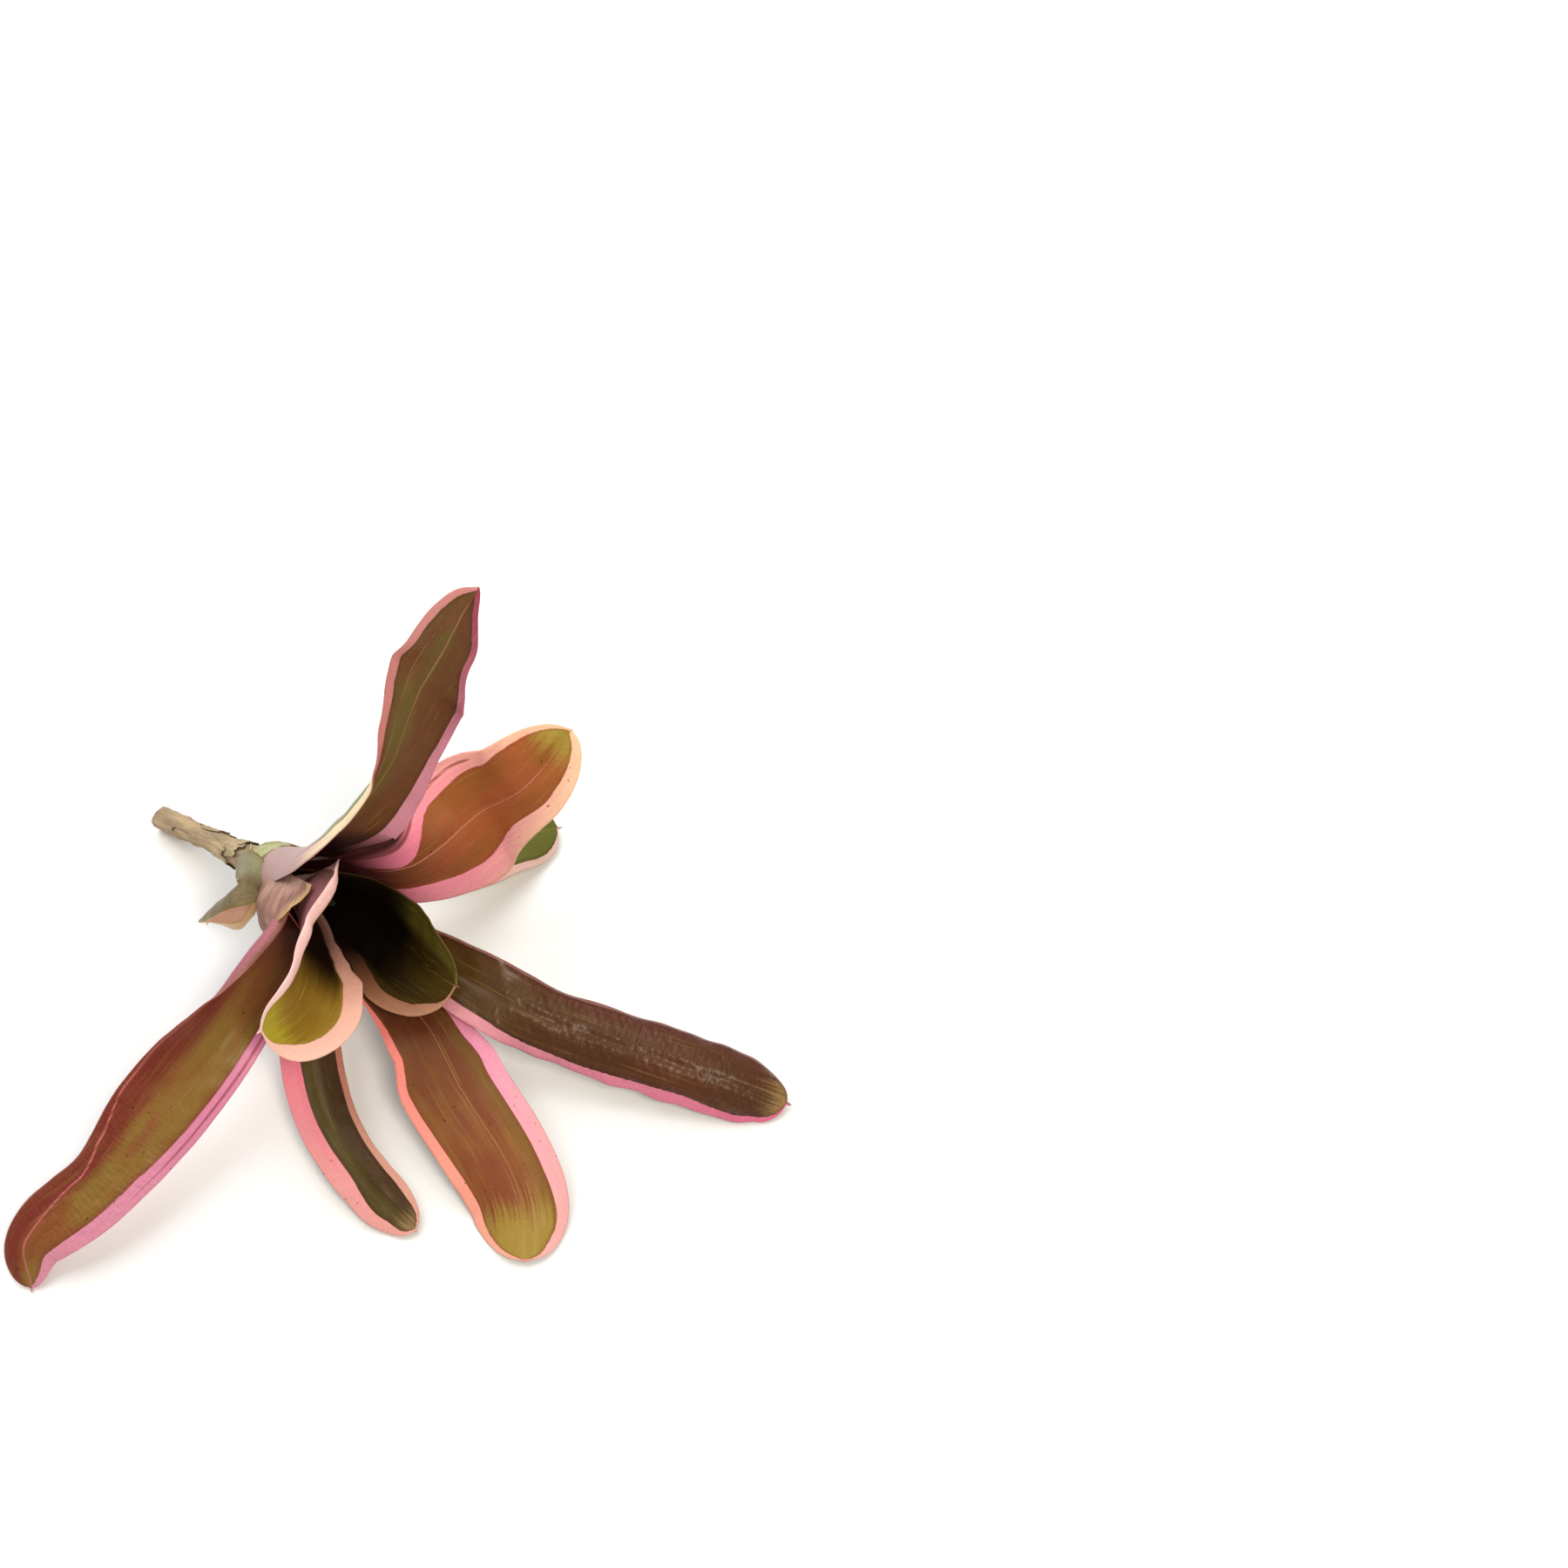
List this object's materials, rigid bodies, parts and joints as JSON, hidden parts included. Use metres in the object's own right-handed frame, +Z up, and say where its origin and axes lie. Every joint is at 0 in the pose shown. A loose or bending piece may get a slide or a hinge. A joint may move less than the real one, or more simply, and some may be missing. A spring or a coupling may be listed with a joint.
{
  "type": "bromeliad cutting",
  "caption": "Bromeliad cutting lying on its side: a rosette of broad variegated strap leaves round a water cup, on a short cut stolon.",
  "frame": {"origin": "centre of the cutting's footprint box, on the surface it lies on", "axes": "+Z up; +X along the longest extent, from the long left leaf's tip towards the long right leaf's tip; -Y towards the front leaves"},
  "size_m": [0.2287, 0.1622, 0.1563],
  "materials": {
    "strap_leaf": "waxy satin, olive brown with pink margins",
    "cup_leaf": "waxy satin, olive green with peach margins",
    "stolon": "dull, fibrous, tan with dark spots",
    "bract": "dry and papery",
    "crown": "dull, fibrous, grey green"
  },
  "bodies": {
    "root": {"crown_stem": "crown", "cut_stolon": "stolon", "dry_bract_1": "bract", "dry_bract_2": "bract", "dry_bract_3": "bract", "heart_leaf": "cup_leaf", "leaf_01_basal": "cup_leaf", "leaf_02_back": "cup_leaf", "leaf_03_short_front": "strap_leaf", "leaf_04_upright": "strap_leaf", "leaf_05_long_right": "strap_leaf", "leaf_06_long_left": "strap_leaf", "leaf_07_upper_right": "strap_leaf", "leaf_08_broad_front": "strap_leaf", "leaf_09_cup_right": "cup_leaf", "leaf_10_cup_left": "cup_leaf"}
  },
  "joints": []
}
